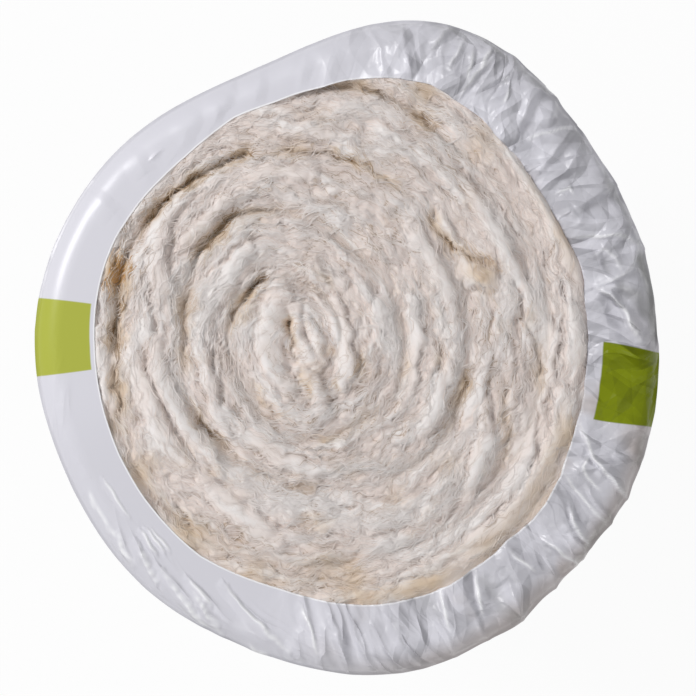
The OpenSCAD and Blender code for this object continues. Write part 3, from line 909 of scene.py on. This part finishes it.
# the film: one sleeve, drawn in over the edge of both ends; metres, and points in pixels of the photo
film = {
    "round": 1200,
    "collarRows": (38, 6),       # upper end, lower end
    "bendRows": (13, 6),
    "sideRows": 12,
    "lip": 0.002,
    "lipTuck": 0.0006,
    "seam": 140,                 # heading at which the measure round the roll starts, in degrees
    "relief": {
        "Gather Height": 0.0008,
        "Crumple Height": 0.0006,
        "Crumples Round": 38.0,      # in a metre
        "Crumples Along": 30.0,
        "Slack Height": 0.0050,
        "Slack Start": 0.04,         # distances from the edge
        "Slack Full": 0.12,
        "Hem Reach": 0.012,
        "Hem Share": 0.35,           # of the heights is left at the very edge
        "Hem Waver": 0.0050,
        "Waver Reach": 0.03,
    },
    # folds of the sleeve: waves in a metre round and along it, detail, sway
    "wrinkles": {
        "gather": (30.0, 20.0, 1.0, 2.2),
        "slack": (15.0, 2.2, 1.0, 0.6),
        "hem": (34.0, 0.0, 2.0, 0.0),
    },
    "wrinkleScale": 22.0,        # of that sway
    "endStep": 7.3,              # keeps the two ends from looking alike
    # where round the roll the film is in each state: heading, how far it goes and fades in degrees, share
    "zones": {
        "gathered": ((32, 32, 76, 1.0), (-65, 20, 50, 0.35)),
        "loose": ((-45, 20, 60, 1.0),),
        "drawn": ((228, 15, 55, 1.0),),
        "pleated": ((-87, 9, 19, 1.0), (68, 8, 20, 0.4)),
    },
    # fine relief: waves in a metre round and along, and the height
    "facet": (18.0, 13.0, 0.0060),
    "pinch": 0.07,               # fine lines between the facets, as a share of their height
    "pucker": (85.0, 30.0, 0.0006),
    "stretch": (11.0, 3.2, 0.0090),
    "streak": (17.0, 95.0, 0.0012),
    "streakSlant": -0.25,        # along for each metre round
    "pleat": (52.0, 20.0, 0.0034),
    "pleatLean": -0.35,          # round for each metre along
    # flat planes of the loose film: creases in a metre round and along, and the slope between them
    "planes": (
        (19.0, 7.0, 0.33), (31.0, -19.0, 0.28), (8.0, 41.0, 0.14), (47.0, 23.0, 0.18), (-26.0, 52.0, 0.13),
        (71.0, -38.0, 0.08),
    ),
    "planeSway": (21.0, 0.045, -0.030),      # scale, reach round and along
    "planeShare": 0.58,          # where the film isn't gathered
    "colours": {
        "white": (215, 214, 222),
        "grey": (191, 190, 197),
        "tan": (176, 160, 148),
        "shade": (116, 117, 110),
        # painted highlight along the film's edge and on the crests of sharp folds
        "edge": (250, 250, 252),
        # one printed green for both bars, lighter with painted light on the left bar and darker with painted
        # shade on the right one
        "leftGreen": (172, 178, 74),
        "rightGreen": (122, 134, 10),
    },
    # the most that each place takes of its colour
    "tints": {"thin": 0.8, "drawn": 0.2, "warm": 0.6, "rim": 0.5, "hollow": 0.7, "edge": 0.85},
    "patches": {"thin": 34.0, "warm": 18.0, "streak": 20.0},     # scale at which each comes and goes
    "endReach": (0.095, 0.055),      # distances from the edge between which the end's tints fade out
    "slackReach": (0.15, 0.05),
    "edgeReach": (0.0035, 0.0026),
    "roughness": 0.31,
    "shine": 0.5,
    "barDull": 0.33,             # taken off the shine where the film is printed
    # two printed bars along the roll: heading of the middle line, half the width at the film's edge and past
    # the rim in degrees, and the distance from the edge at which the bar starts
    "bars": {"left": (177.6, 7.35, 7.1, 0.005), "right": (-7.4, 8.9, 7.0, 0.0118)},
    "barTaper": (0.005, 0.06),   # distance from the edge over which the width changes
    "barBlur": (0.0012, 0.15),   # of its end in metres, of its sides in degrees
    # bulges on the rim: heading and half the width in degrees, metres outwards
    "bulges": (
        (-59, 5.0, 0.0034), (-50, 2.0, 0.0008), (-43, 2.6, 0.0009), (-28.5, 2.0, 0.0010),
        (-34, 2.0, 0.0006), (19, 1.4, 0.0008), (43.5, 1.4, 0.0006), (51, 1.2, 0.0008), (61, 1.4, 0.0010),
    ),
    "bulgeFade": 0.12,           # down the side
    "creaseWaver": 0.0009,
    # creases that stand up from the upper end: pixels, height, width
    "creases": (
        (((148, 164), (156, 159), (164, 153)), 0.0014, 0.0018),
        (((330, 612), (340, 640), (352, 668)), 0.0028, 0.0024),
        (((352, 610), (358, 640), (368, 665)), 0.0026, 0.0024),
        (((385, 605), (400, 640), (420, 665)), 0.0028, 0.0026),
        (((430, 602), (445, 630), (455, 655)), 0.0026, 0.0026),
        (((465, 598), (480, 625), (486, 640)), 0.0030, 0.0029),
        (((505, 575), (515, 600), (520, 630)), 0.0032, 0.0031),
        (((540, 545), (555, 585), (560, 612)), 0.0032, 0.0033),
        (((560, 520), (578, 545), (590, 575)), 0.0032, 0.0029),
        (((575, 470), (600, 510), (622, 545)), 0.0032, 0.0029),
        (((440, 86), (442, 60), (440, 30)), 0.0022, 0.0026),
        (((410, 78), (405, 55), (402, 26)), 0.0020, 0.0024),
        (((385, 74), (378, 50), (370, 28)), 0.0018, 0.0024),
        (((62, 215), (80, 175), (110, 135)), 0.0008, 0.0030),
        (((48, 262), (58, 225), (66, 205)), 0.0008, 0.0026),
        (((55, 400), (68, 436), (86, 472)), 0.0010, 0.0028),
        (((46, 395), (56, 425), (62, 445)), 0.0008, 0.0022),
        (((595, 440), (615, 452), (640, 455)), 0.0026, 0.0024),
    ),
    "tentWaver": 0.0006,
    "tentShare": 1.8,            # of the height listed below
    "crestWidth": 0.0010,        # of the painted highlight line on a sharp fold
    "crestSides": (0.0048, 0.0020),      # reach of the steep side at which that line starts and is full
    # folds with a gentle and a steep side: pixels from the film's edge outwards, height, reach of both sides
    "tents": (
        (((514, 142), (521, 120), (527, 106), (541, 91)), 0.0034, 0.0200, 0.0055),
        (((549, 130), (549, 112), (551, 100)), 0.0020, 0.0120, 0.0050),
        (((541, 169), (549, 157), (559, 142), (569, 132)), 0.0030, 0.0150, 0.0045),
        (((528, 140), (540, 134), (552, 134), (568, 131)), 0.0016, 0.0060, 0.0030),
        (((571, 212), (585, 201), (600, 194), (613, 188)), 0.0034, 0.0200, 0.0050),
        (((556, 196), (566, 188), (571, 196)), 0.0018, 0.0060, 0.0030),
        (((572, 239), (606, 236), (627, 240), (637, 246)), 0.0022, 0.0150, 0.0025),
        (((590, 256), (600, 250), (612, 258), (619, 272)), 0.0020, 0.0060, 0.0035),
        (((594, 287), (608, 282), (622, 274), (630, 262), (634, 248)), 0.0026, 0.0100, 0.0035),
        (((596, 290), (612, 288), (628, 290), (640, 298)), 0.0016, 0.0050, 0.0040),
        (((594, 290), (607, 296), (618, 307), (628, 325), (638, 342)), 0.0036, 0.0060, 0.0022),
        (((459, 97), (476, 75), (490, 61)), 0.0024, 0.0090, 0.0030),
        (((466, 84), (470, 68), (471, 54)), 0.0024, 0.0060, 0.0030),
        (((478, 72), (484, 62), (490, 52)), 0.0022, 0.0050, 0.0025),
        (((479, 92), (496, 83), (517, 75)), 0.0024, 0.0090, 0.0045),
        (((432, 56), (438, 44), (447, 32)), 0.0024, 0.0060, 0.0035),
        (((448, 70), (455, 56), (462, 44)), 0.0022, 0.0060, 0.0035),
        (((500, 106), (506, 98), (508, 88)), 0.0018, 0.0050, 0.0030),
        (((579, 424), (586, 445), (596, 463), (609, 480), (625, 499)), 0.0026, 0.0110, 0.0020),
        (((588, 453), (582, 465), (586, 478), (597, 488)), 0.0014, 0.0050, 0.0025),
        (((568, 507), (570, 519), (587, 545)), 0.0018, 0.0070, 0.0022),
        (((511, 551), (523, 561), (535, 570)), 0.0016, 0.0080, 0.0020),
        (((476, 571), (477, 590), (480, 614)), 0.0020, 0.0080, 0.0020),
        (((545, 540), (566, 556), (578, 566)), 0.0016, 0.0070, 0.0025),
        (((438, 588), (442, 606), (450, 628)), 0.0018, 0.0060, 0.0025),
        (((560, 470), (580, 498), (604, 524)), 0.0014, 0.0080, 0.0030),
        (((143, 530), (151, 540), (158, 552)), 0.0014, 0.0016, 0.0040),
        (((148, 528), (158, 539), (166, 550)), 0.0014, 0.0016, 0.0040),
        (((153, 528), (163, 538), (171, 549)), 0.0008, 0.0016, 0.0035),
        (((118, 530), (126, 548), (134, 562)), 0.0015, 0.0016, 0.0045),
        (((141, 541), (149, 560), (158, 582)), 0.0019, 0.0018, 0.0055),
        (((164, 566), (180, 589), (196, 612), (225, 631)), 0.0019, 0.0018, 0.0070),
        (((190, 577), (202, 590), (213, 602)), 0.0015, 0.0018, 0.0050),
        (((196, 590), (207, 608), (219, 624)), 0.0018, 0.0018, 0.0050),
        (((228, 583), (250, 610), (272, 632), (290, 650)), 0.0018, 0.0018, 0.0080),
        (((106, 478), (118, 497), (131, 515)), 0.0007, 0.0016, 0.0040),
        (((104, 514), (110, 526), (118, 534)), 0.0009, 0.0016, 0.0030),
        (((92, 490), (98, 505), (106, 517)), 0.0009, 0.0016, 0.0030),
        (((214, 128), (221, 110), (231, 94)), 0.0010, 0.0160, 0.0060),
        (((180, 150), (190, 132), (205, 112)), 0.0007, 0.0140, 0.0080),
        (((150, 178), (140, 160)), 0.0006, 0.0120, 0.0080),
        (((118, 215), (100, 200)), 0.0006, 0.0140, 0.0080),
        (((255, 112), (258, 95), (262, 75)), 0.0007, 0.0140, 0.0070),
        (((300, 90), (303, 72), (308, 55)), 0.0006, 0.0160, 0.0070),
        (((250, 642), (258, 650), (268, 654)), 0.0010, 0.0018, 0.0040),
        (((302, 604), (312, 628), (318, 652)), 0.0013, 0.0018, 0.0060),
    ),
    # hollows: pixels, depth, half the width, share of shade
    "hollows": (
        (((622, 290), (637, 296), (646, 312)), 0.0030, 0.0090, 0.6),
        (((640, 258), (648, 280), (653, 306), (656, 335)), 0.0022, 0.0080, 0.9),
        (((604, 262), (606, 272)), 0.0018, 0.0045, 0.3),
        (((605, 302), (616, 322), (624, 336)), 0.0014, 0.0080, 0.0),
        (((484, 580), (500, 600), (512, 612)), 0.0016, 0.0090, 0.35),
        (((643, 440), (638, 460)), 0.0014, 0.0070, 0.5),
        (((608, 514), (594, 536), (576, 560)), 0.0014, 0.0060, 0.45),
        (((605, 190), (618, 202)), 0.0010, 0.0060, 0.3),
        (((424, 594), (434, 608)), 0.0005, 0.0130, 0.25),
    ),
}


def filmSection(collar, rows, bendRows):
    # one end of the sleeve, from its edge to its straight side: steps inward, downward, along, over the rim
    rim = rollForm["rimRadius"]
    lip = film["lip"]
    level = np.zeros_like(collar)
    steps = [(collar - film["lipTuck"], level + lip, level, 0.0)]
    for f in np.linspace(0, 1, rows):
        steps.append((collar + (rim - collar) * f, level, lip + (collar - rim) * f, 0.0))
    for f in np.linspace(0, 1, bendRows + 1)[1:]:
        bend = f * math.pi / 2
        inset, drop = rim - rim * math.sin(bend), rim - rim * math.cos(bend)
        steps.append((level + inset, level + drop, lip + collar - rim + rim * bend, f))
    return steps


def filmRows(angle):
    # every row of the sleeve, from its upper edge down to its lower one
    outline, inward, same = outlinePoints(angle), inwardVectors(angle), np.ones(len(angle))
    collar = np.linalg.norm(hemPoints(angle) - outline, axis=1)
    upper, lower = (filmSection(collar, *rows) for rows in zip(film["collarRows"], film["bendRows"]))
    turned = upper[-1][2]                        # distance from the edge to the straight side
    rim = rollForm["rimRadius"]
    straight = rollLength - 2 * rim
    bulges = 0
    for heading, wide, high in film["bulges"]:
        bulges = bulges + high * np.exp(-(turnedAway(angle, heading) / wide) ** 2)
    keys = ("flat", "level", "reach", "over", "end", "bulge")
    rows = []
    for inset, drop, run, over in upper:
        flat, bulge = outline + inset[:, None] * inward, bulges * smooth(0, 0.7, over)
        rows.append((flat, rollLength - drop, run, over * same, same, bulge))
    for f in np.linspace(0, 1, film["sideRows"] + 2)[1:-1]:
        fromTop, fromBase = straight * f, straight * (1 - f)
        level, run = (rollLength - rim - fromTop) * same, turned + min(fromTop, fromBase)
        bulge = bulges * math.exp(-fromTop / film["bulgeFade"])
        rows.append((outline, level, run, same, (1 - 2 * f) * same, bulge))
    for inset, drop, run, over in lower[::-1]:
        rows.append((outline + inset[:, None] * inward, drop, run, over * same, -same, 0 * same))
    return len(rows), {key: np.concatenate(parts) for key, parts in zip(keys, zip(*rows))}


def filmFolds(flat, topside):
    # on the upper end: height of the drawn creases, folds and hollows, the painted highlight on sharp
    # crests, and the painted shade in the hollows
    crease, crest, shaded = (np.zeros(len(flat)) for _ in range(3))
    uneven = wavered(flat, film["creaseWaver"])
    for corners, high, wide in film["creases"]:
        away, where, _ = distanceToLine(uneven, corners)
        stands = high * endsFaded(where, 0.05)
        crease = np.maximum(crease, np.where(topside, stands * np.exp(-(away / wide) ** 1.2), 0))
    uneven = wavered(flat, film["tentWaver"])
    for corners, high, gentle, steep in film["tents"]:
        away, where, side = distanceToLine(uneven, corners)
        stands = film["tentShare"] * high * endsFaded(where, 0.06)
        slope = np.clip(1 - away / np.where(side > 0, gentle, steep), 0, None)
        crease = np.maximum(crease, np.where(topside, stands * slope, 0))
        sharp = smooth(*film["crestSides"], min(gentle, steep)) * np.exp(-(away / film["crestWidth"]) ** 2)
        crest = np.maximum(crest, np.where(topside, sharp * endsFaded(where, 0.02), 0))
    for corners, deep, half, shade in film["hollows"]:
        bowl = np.where(topside, smooth(half, 0, distanceToLine(uneven, corners)[0]), 0)
        crease -= deep * bowl
        shaded = np.maximum(shaded, shade * bowl)
    return crease, crest, shaded


def filmMesh():
    n = film["round"]
    angle = np.arange(n) * 360 / n
    outline = outlinePoints(angle)
    girth = np.cumsum(np.linalg.norm(outline - np.roll(outline, 1, 0), axis=1))
    girth = np.where(angle < film["seam"], girth + girth[-1], girth)
    count, values = filmRows(angle)
    flat, level = values.pop("flat"), values.pop("level")
    values["crease"], values["crest"], values["shaded"] = filmFolds(flat, values["end"] > 0.99)
    values["round"] = np.tile(np.column_stack([outline, np.zeros(n)]), (count, 1))
    values["inward"] = np.tile(np.column_stack([inwardVectors(angle), np.zeros(n)]), (count, 1))
    values["girth"] = np.tile(girth, count)
    for zone, spans in film["zones"].items():
        here = np.zeros(n)
        for middle, full, faded, most in spans:
            here = np.maximum(here, most * smooth(faded, full, turnedAway(angle, middle)))
        values[zone] = np.tile(here, count)
    for bar, (heading, *_) in film["bars"].items():
        values[bar + "Bar"] = np.tile(turnedAway(angle, heading), count)
    index = np.arange(count * n).reshape(count, n)
    right = np.roll(index, -1, axis=1)
    faces = np.stack([index[:-1], index[1:], right[1:], right[:-1]], -1).reshape(-1, 4)
    return meshFrom("filmWrap", np.column_stack([flat, level]), faces.tolist(), values)


def filmReliefTree():
    tree, size, result = nodeTree("filmRelief", film["relief"])
    keys = ("reach", "over", "end", "gathered", "loose")
    reach, over, end, gathered, loose = (named(tree, key) for key in keys)
    around = named(tree, "round", "FLOAT_VECTOR")
    place = position(tree)
    outward = tree.nodes.new("GeometryNodeInputNormal").outputs[0]

    def wrinkles(kind):
        roundwise, lengthwise, detail, sway = film["wrinkles"][kind]
        shift = times(tree, swing(tree, place, film["wrinkleScale"]), sway)
        run = timesPlus(tree, end, film["endStep"], timesPlus(tree, reach, lengthwise, shift))
        spot = vectorMath(tree, "ADD", scaled(tree, around, roundwise), vector(tree, shift, shift, run))
        return noise(tree, spot, detail=detail, roughness=0.45)

    # gathers and crumples run from the edge over the rim, slack waves along the side
    upper = ramp(tree, end, -0.9, 0.9)
    fade = times(tree, ramp(tree, over, 0.8, 0.15), upper)
    fold = minus(tree, calc(tree, "POWER", ridge(tree, wrinkles("gather")), 1.6), 0.4)
    height = times(tree, times(tree, fold, gathered), times(tree, fade, size["Gather Height"]))
    along = vector(tree, 0.0, 0.0, times(tree, reach, size["Crumples Along"]))
    facet = cells(tree, vectorMath(tree, "ADD", scaled(tree, around, size["Crumples Round"]), along), "F1")
    crumple = times(tree, facet, calc(tree, "MAXIMUM", gathered, times(tree, loose, 0.7)), fade)
    height = timesPlus(tree, crumple, size["Crumple Height"], height)
    slack = calc(tree, "POWER", ridge(tree, wrinkles("slack")), 2.0)
    slack = times(tree, slack, ramp(tree, reach, size["Slack Start"], size["Slack Full"]))
    height = timesPlus(tree, slack, size["Slack Height"], height)
    # the drawn creases are lower on the rim, and all is lower at the very edge, which wavers in and out
    stands = times(tree, ramp(tree, over, 1.0, 0.3, 0.35, 1.0), upper)
    height = timesPlus(tree, named(tree, "crease"), stands, height)
    height = calc(tree, "ADD", height, named(tree, "bulge"))
    height = times(tree, height, ramp(tree, reach, 0.0, size["Hem Reach"], size["Hem Share"], 1.0))
    waver = times(tree, minus(tree, wrinkles("hem"), 0.5), ramp(tree, reach, size["Waver Reach"], 0.0))
    waver = times(tree, waver, timesPlus(tree, calc(tree, "MAXIMUM", gathered, loose), 0.85, 0.15))
    pull = scaled(tree, named(tree, "inward", "FLOAT_VECTOR"), times(tree, waver, size["Hem Waver"]))
    geometry = moved(tree, size["Geometry"], vectorMath(tree, "ADD", scaled(tree, outward, height), pull))
    tree.links.new(finished(tree, geometry, size["Material"]), result)
    return tree


def filmColour(tree, place, thinnest):
    # the film's colour, with painted shade in its hollows and painted highlight along its edge and on its
    # crests, and how much it shines
    paint, most = paints(film["colours"]), film["tints"]
    reach, over, gathered = (attribute(tree, key) for key in ("reach", "over", "gathered"))
    onEnd = ramp(tree, reach, *film["endReach"])
    upperLoose = times(tree, attribute(tree, "loose"), ramp(tree, attribute(tree, "end"), 0.2, 0.7))
    patch = noise(tree, place, scale=film["patches"]["thin"], detail=3.0)
    thin = times(tree, thinnest, ramp(tree, patch, 0.38, 0.60), onEnd)
    dull = times(tree, ramp(tree, attribute(tree, "drawn"), 0.35, 1.0, 0.0, most["drawn"]), onEnd)
    thin = calc(tree, "MAXIMUM", times(tree, thin, most["thin"]), dull)
    colour = tint(tree, thin, paint["white"], paint["grey"])
    patch = noise(tree, place, scale=film["patches"]["warm"])
    warm = times(tree, upperLoose, onEnd, ramp(tree, patch, 0.50, 0.66))
    onRim = times(tree, upperLoose, ramp(tree, over, 0.05, 0.6), onEnd)
    warm = calc(tree, "MAXIMUM", times(tree, warm, most["warm"]), times(tree, onRim, most["rim"]))
    colour = tint(tree, warm, colour, paint["tan"])
    colour = tint(tree, times(tree, attribute(tree, "shaded"), most["hollow"]), colour, paint["shade"])
    # painted highlight: a thin bright line along the edge, except where gathered, and on the crests of sharp
    # folds
    glint = times(tree, ramp(tree, reach, *film["edgeReach"]), minus(tree, 1.0, gathered))
    glint = calc(tree, "MAXIMUM", glint, attribute(tree, "crest"))
    colour = tint(tree, times(tree, glint, most["edge"]), colour, paint["edge"])
    shine = film["shine"]
    endBlur, sideBlur = film["barBlur"]
    # the same printed green on both bars, painted lighter on the left and darker in painted shade on the
    # right
    for bar, (_, inner, outer, start) in film["bars"].items():
        past = minus(tree, attribute(tree, bar + "Bar"), ramp(tree, reach, *film["barTaper"], inner, outer))
        begun = ramp(tree, reach, start, start + endBlur)
        printed = times(tree, ramp(tree, past, sideBlur, -sideBlur), begun)
        colour = tint(tree, printed, colour, paint[bar + "Green"])
        shine = timesPlus(tree, printed, -film["barDull"], shine)
    return colour, shine


def filmFineRelief(tree, place, thinnest):
    # flat facets where the film is loose, long streaks where it is drawn, pleats across the edge, in metres
    keys = ("reach", "girth", "over", "end", "gathered", "drawn", "pleated")
    reach, girth, over, end, gathered, drawn, pleated = (attribute(tree, key) for key in keys)
    around = attribute(tree, "round", "Vector")
    turned = ramp(tree, over, 1.0, 0.5, 0.4, 1.0)

    def spot(roundwise, lengthwise, endStep):
        along = vector(tree, 0.0, 0.0, timesPlus(tree, reach, lengthwise, times(tree, end, endStep)))
        return vectorMath(tree, "ADD", scaled(tree, around, roundwise), along)

    roundwise, lengthwise, high = film["facet"]
    facet = cells(tree, spot(roundwise, lengthwise, 5.3), "DISTANCE_TO_EDGE")
    relief = timesPlus(tree, ramp(tree, facet, 0.07, 0.0), high * film["pinch"], times(tree, facet, high))
    relief = times(tree, relief, timesPlus(tree, thinnest, 0.94, 0.06))
    scale, aside, upward = film["planeSway"]
    sway = swing(tree, place, scale)
    swayed, raised = timesPlus(tree, sway, aside, girth), timesPlus(tree, sway, upward, reach)
    planes = 0.0
    for roundwise, lengthwise, slope in film["planes"]:
        wave = timesPlus(tree, swayed, roundwise, times(tree, raised, lengthwise))
        wave = calc(tree, "ABSOLUTE", minus(tree, calc(tree, "FRACT", wave), 0.5))
        planes = timesPlus(tree, wave, slope / math.hypot(roundwise, lengthwise), planes)
    planes = times(tree, planes, timesPlus(tree, gathered, 1 - film["planeShare"], film["planeShare"]))
    relief = timesPlus(tree, planes, times(tree, thinnest, turned), relief)
    roundwise, lengthwise, high = film["streak"]
    slant = timesPlus(tree, girth, film["streakSlant"], reach)
    streak = vector(tree, times(tree, girth, roundwise), times(tree, slant, lengthwise), 0.0)
    streak = calc(tree, "POWER", ridge(tree, noise(tree, streak, detail=1.0)), 4.0)
    patch = noise(tree, place, scale=film["patches"]["streak"])
    streak = times(tree, streak, ramp(tree, patch, 0.40, 0.56))
    streak = times(tree, streak, times(tree, drawn, ramp(tree, reach, 0.012, 0.032)))
    relief = timesPlus(tree, streak, high, relief)
    roundwise, lengthwise, high = film["stretch"]
    stretch = noise(tree, spot(roundwise, lengthwise, 2.1), detail=3.0, roughness=0.6, distortion=0.5)
    stretch = times(tree, ridge(tree, stretch), ramp(tree, over, 0.6, 1.0))
    relief = timesPlus(tree, stretch, high, relief)
    roundwise, lengthwise, high = film["pucker"]
    pucker = noise(tree, spot(roundwise, lengthwise, 0.0), detail=1.0)
    pucker = calc(tree, "POWER", ridge(tree, pucker), 3.0)
    pucker = times(tree, pucker, times(tree, thinnest, ramp(tree, reach, 0.026, 0.006)))
    relief = timesPlus(tree, pucker, high, relief)
    roundwise, lengthwise, high = film["pleat"]
    lean = timesPlus(tree, reach, film["pleatLean"], girth)
    pleat = vector(tree, times(tree, lean, roundwise), times(tree, reach, lengthwise), 3.0)
    pleat = calc(tree, "POWER", ridge(tree, noise(tree, pleat, detail=1.0)), 3.0)
    return timesPlus(tree, times(tree, pleat, times(tree, pleated, turned)), high, relief)


def filmMaterial():
    material, tree, shader = newMaterial("packingFilm")
    place = tree.nodes.new("ShaderNodeTexCoord").outputs["Object"]
    slack = calc(tree, "MAXIMUM", attribute(tree, "loose"), attribute(tree, "gathered"))
    thinnest = times(tree, slack, ramp(tree, attribute(tree, "reach"), *film["slackReach"]))
    thinnest = times(tree, thinnest, ramp(tree, attribute(tree, "end"), 0.2, 0.7))
    colour, shine = filmColour(tree, place, thinnest)
    tree.links.new(colour, shader.inputs["Base Color"])
    tree.links.new(shine, shader.inputs["Specular IOR Level"])
    shader.inputs["Roughness"].default_value = film["roughness"]
    tree.links.new(bump(tree, filmFineRelief(tree, place, thinnest), 1.0), shader.inputs["Normal"])
    return material


packingFilm = filmMaterial()
filmWrap = filmMesh()
applyTree(filmWrap, filmReliefTree(), {**film["relief"], "Material": packingFilm})
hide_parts("film_wrap")
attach(filmWrap, "root")
print("stage: film wrap", len(filmWrap.data.polygons), "faces")


# floor, light and camera
studio = {
    "floorWidth": 12.0,
    "floorColour": (0.92, 0.92, 0.92, 1.0),
    "floorRoughness": 0.9,
    "floorShow": 0.93,           # how much of the floor is shown as plain white
    "skyStrength": 0.5,
    # place, power, size
    "lamps": {
        "keyLamp": ((-1.9, 0.9, 3.0), 41.0, 0.9),
        "lowLamp": ((-1.1, -1.7, 2.9), 6.0, 0.5),
        "fillLamp": ((1.6, -1.4, 3.4), 7.0, 2.0),
    },
}


def mixShaders(tree, share, first, second, output):
    mixed = addNode(tree, "ShaderNodeMixShader", {0: share, 1: first, 2: second})
    tree.links.new(mixed.outputs[0], tree.nodes[output].inputs["Surface"])


def addFloor():
    half = studio["floorWidth"] / 2
    corners = [(-half, -half, 0), (half, -half, 0), (half, half, 0), (-half, half, 0)]
    floor = meshFrom("floor", corners, [[0, 1, 2, 3]], {})
    material, tree, plain = newMaterial("paleFloor")
    plain.inputs["Base Color"].default_value = studio["floorColour"]
    plain.inputs["Roughness"].default_value = studio["floorRoughness"]
    glow = tree.nodes.new("ShaderNodeEmission")
    ray = tree.nodes.new("ShaderNodeLightPath").outputs
    mirrored = calc(tree, "MAXIMUM", ray["Is Glossy Ray"], ray["Is Transmission Ray"])
    seen = times(tree, calc(tree, "MAXIMUM", ray["Is Camera Ray"], mirrored), studio["floorShow"])
    mixShaders(tree, seen, plain.outputs[0], glow.outputs[0], "Material Output")
    floor.data.materials.append(material)


def addLamp(name, place, power, size):
    data = bpy.data.lights.new(name, "AREA")
    data.energy = power
    data.size = size
    lamp = bpy.data.objects.new(name, data)
    bpy.context.scene.collection.objects.link(lamp)
    lamp.location = place
    way = np.array((0, 0, rollLength)) - np.array(place)     # it looks at the upper end
    tilted = math.acos(-way[2] / np.linalg.norm(way))
    lamp.rotation_euler = (tilted, 0, math.atan2(way[1], way[0]) - math.pi / 2)


def addWorld():
    world = bpy.data.worlds.new("studio")
    bpy.context.scene.world = world
    world.use_nodes = True
    tree = world.node_tree
    light = tree.nodes["Background"]
    light.inputs["Strength"].default_value = studio["skyStrength"]
    light.inputs["Color"].default_value = (1, 1, 1, 1)
    white = addNode(tree, "ShaderNodeBackground", {"Color": (1, 1, 1, 1)})
    ray = tree.nodes.new("ShaderNodeLightPath").outputs
    mixShaders(tree, ray["Is Camera Ray"], light.outputs[0], white.outputs[0], "World Output")


def addCamera():
    rimLevel = rollLength - rollForm["rimRadius"]
    data = bpy.data.cameras.new("camera")
    data.sensor_width = photoView["sensor"]
    frameSpan = photoView["frameWidth"] * photoView["pixel"]
    data.lens = photoView["sensor"] * photoView["cameraAbove"] / frameSpan
    camera = bpy.data.objects.new("camera", data)
    bpy.context.scene.collection.objects.link(camera)
    middle = fromPhoto(photoView["frameWidth"] / 2, photoView["frameWidth"] / 2)
    camera.location = (middle[0], middle[1], rimLevel + photoView["cameraAbove"])
    bpy.context.scene.camera = camera


addFloor()
for lampName, lamp in studio["lamps"].items():
    addLamp(lampName, *lamp)
addWorld()
addCamera()
bpy.context.scene.view_settings.view_transform = "Standard"
print("stage: floor, light and camera")
